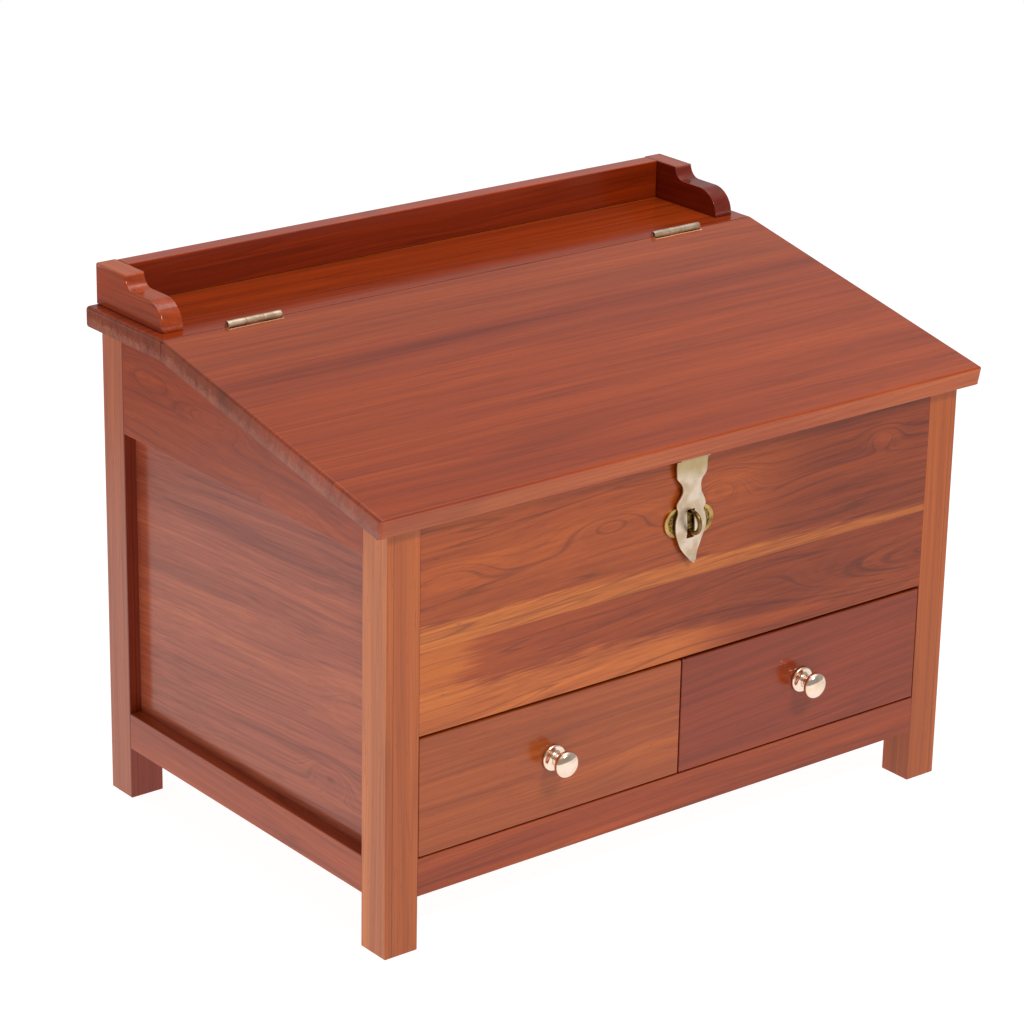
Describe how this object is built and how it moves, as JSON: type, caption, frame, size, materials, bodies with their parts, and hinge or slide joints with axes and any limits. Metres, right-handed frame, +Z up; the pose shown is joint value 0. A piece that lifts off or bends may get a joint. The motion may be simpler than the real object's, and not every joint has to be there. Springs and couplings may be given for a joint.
{
  "type": "slant-top lap desk",
  "caption": "Wooden slant-top lap desk on short square legs: sloping hinged lid with hasp and staple over a compartment, side-by-side drawers with knobs below, low scrolled gallery behind.",
  "frame": {"origin": "on the floor under the middle of the desk's plan, knobs included", "axes": "+X to the sitter's right, +Y away from the sitter towards the gallery, +Z up"},
  "size_m": [0.4806, 0.322, 0.3606],
  "materials": {
    "lacquered_hardwood": "gloss lacquer",
    "plain_hardwood": "planed and oiled",
    "satin_brass": "satin",
    "polished_brass": "polished",
    "dark_brass": "darkened satin",
    "steel": "bright drawn"
  },
  "bodies": {
    "carcass": {"front_left_leg": "lacquered_hardwood", "front_right_leg": "lacquered_hardwood", "back_left_leg": "lacquered_hardwood", "back_right_leg": "lacquered_hardwood", "left_lower_rail": "lacquered_hardwood", "left_upper_rail": "lacquered_hardwood", "left_panel": "lacquered_hardwood", "right_lower_rail": "lacquered_hardwood", "right_upper_rail": "lacquered_hardwood", "right_panel": "lacquered_hardwood", "back_lower_rail": "lacquered_hardwood", "back_upper_rail": "lacquered_hardwood", "back_panel": "lacquered_hardwood", "front_rail": "lacquered_hardwood", "front_panel": "lacquered_hardwood", "compartment_floor": "plain_hardwood", "drawer_divider": "plain_hardwood", "left_runner": "plain_hardwood", "centre_runner": "plain_hardwood", "right_runner": "plain_hardwood", "top_shelf": "lacquered_hardwood", "gallery_left_end": "lacquered_hardwood", "gallery_right_end": "lacquered_hardwood", "gallery_back": "lacquered_hardwood", "left_hinge_shelf_leaf": "satin_brass", "left_hinge_shelf_outer_screw": "satin_brass", "left_hinge_shelf_inner_screw": "satin_brass", "left_hinge_pin": "steel", "right_hinge_shelf_leaf": "satin_brass", "right_hinge_shelf_outer_screw": "satin_brass", "right_hinge_shelf_inner_screw": "satin_brass", "right_hinge_pin": "steel", "staple_plate": "satin_brass", "staple": "dark_brass"},
    "lid": {"lid": "lacquered_hardwood", "left_hinge_lid_leaf": "satin_brass", "left_hinge_lid_outer_screw": "satin_brass", "left_hinge_lid_inner_screw": "satin_brass", "right_hinge_lid_leaf": "satin_brass", "right_hinge_lid_outer_screw": "satin_brass", "right_hinge_lid_inner_screw": "satin_brass", "hasp_leaf": "satin_brass", "hasp_left_screw": "satin_brass", "hasp_right_screw": "satin_brass", "hasp_pin": "steel"},
    "hasp": {"hasp_strap": "satin_brass"},
    "drawer_left": {"drawer_left_front": "lacquered_hardwood", "drawer_left_outer_side": "plain_hardwood", "drawer_left_inner_side": "plain_hardwood", "drawer_left_back": "plain_hardwood", "drawer_left_bottom": "plain_hardwood", "drawer_left_knob": "polished_brass", "drawer_left_knob_screw": "steel"},
    "drawer_right": {"drawer_right_front": "lacquered_hardwood", "drawer_right_outer_side": "plain_hardwood", "drawer_right_inner_side": "plain_hardwood", "drawer_right_back": "plain_hardwood", "drawer_right_bottom": "plain_hardwood", "drawer_right_knob": "polished_brass", "drawer_right_knob_screw": "steel"}
  },
  "joints": [
    {"name": "lid_hinge", "type": "hinge", "parent": "carcass", "child": "lid", "pos_m": [0, 0.074, 0.3356], "axis": [-1, 0, 0], "range_deg": [0, 150]},
    {"name": "hasp_hinge", "type": "hinge", "parent": "lid", "child": "hasp", "pos_m": [0, -0.1472, 0.27481], "axis": [-1, 0, 0], "range_deg": [0, 90]},
    {"name": "drawer_left_slide", "type": "slide", "parent": "carcass", "child": "drawer_left", "axis": [0, -1, 0], "range_m": [0, 0.2]},
    {"name": "drawer_right_slide", "type": "slide", "parent": "carcass", "child": "drawer_right", "axis": [0, -1, 0], "range_m": [0, 0.2]}
  ]
}
